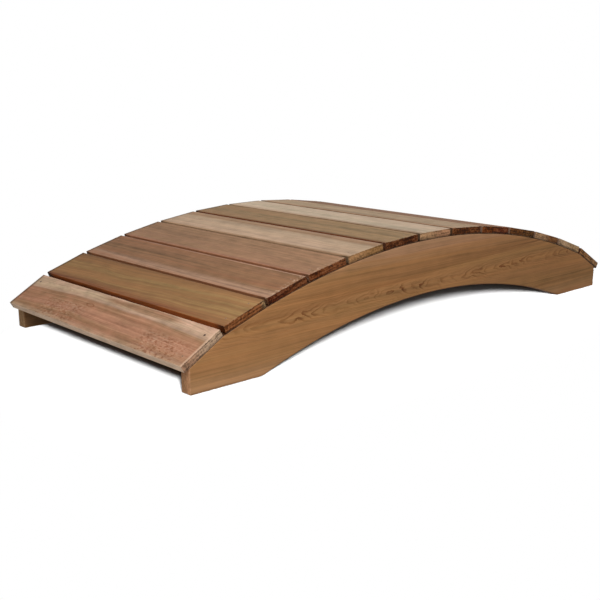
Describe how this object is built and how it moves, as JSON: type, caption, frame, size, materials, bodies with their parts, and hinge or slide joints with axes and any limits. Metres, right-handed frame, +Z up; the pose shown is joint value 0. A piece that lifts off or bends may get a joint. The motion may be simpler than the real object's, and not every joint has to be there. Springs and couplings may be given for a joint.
{
  "type": "garden moon bridge",
  "caption": "Low arched garden footbridge: arched side boards on flat feet carry a curved deck of flat cross planks with sloping end planks.",
  "frame": {"origin": "on the ground at mid-span, midway between the two side boards", "axes": "+X along the walk, +Y across it to the left, +Z up"},
  "size_m": [1.878, 0.914, 0.3067],
  "materials": {
    "board_cedar": "bare planed softwood, flat-sawn figure, satin",
    "rose_cedar": "bare planed softwood with a pink cast, satin",
    "gold_cedar": "bare planed softwood, golden brown, satin",
    "brown_cedar": "bare planed softwood, mid brown, satin",
    "straw_cedar": "bare planed softwood, pale straw, satin",
    "tan_cedar": "bare planed softwood, tan, satin"
  },
  "bodies": {
    "root": {"right_side_board": "board_cedar", "left_side_board": "board_cedar", "plank_01": "rose_cedar", "plank_02": "gold_cedar", "plank_03": "brown_cedar", "plank_04": "rose_cedar", "plank_05": "straw_cedar", "plank_06": "brown_cedar", "plank_07": "straw_cedar", "plank_08": "tan_cedar", "plank_09": "brown_cedar", "plank_10": "gold_cedar", "plank_11": "tan_cedar", "plank_12": "straw_cedar", "plank_13": "brown_cedar"}
  },
  "joints": []
}
